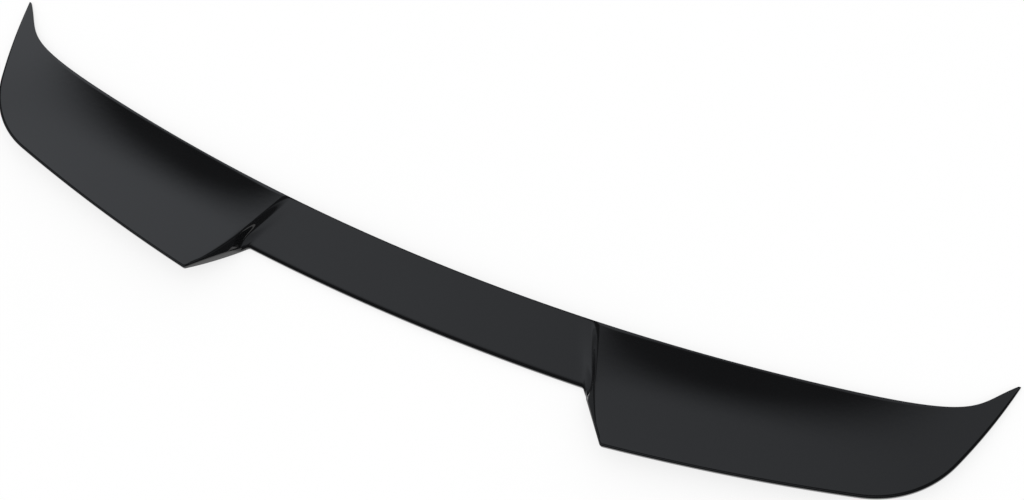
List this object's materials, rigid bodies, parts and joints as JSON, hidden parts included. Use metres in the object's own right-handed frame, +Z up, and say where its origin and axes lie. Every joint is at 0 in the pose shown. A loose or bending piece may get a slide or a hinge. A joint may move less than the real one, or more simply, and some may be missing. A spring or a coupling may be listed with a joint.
{
  "type": "rear spoiler",
  "caption": "Gloss black stick-on lip spoiler for a boot lid: a thin moulding with a flat centre, raised wings behind a notch on each side, and pointed tips that sweep forward.",
  "frame": {"origin": "middle of the part's outline box, on the level of the horn tips and inner rear corners it stands on", "axes": "+X across the car to its right, +Y towards the front of the car, +Z up"},
  "size_m": [1.1988, 0.2236, 0.0273],
  "materials": {
    "gloss_black": "high gloss, black"
  },
  "bodies": {
    "root": {"spoiler": "gloss_black"}
  },
  "joints": []
}
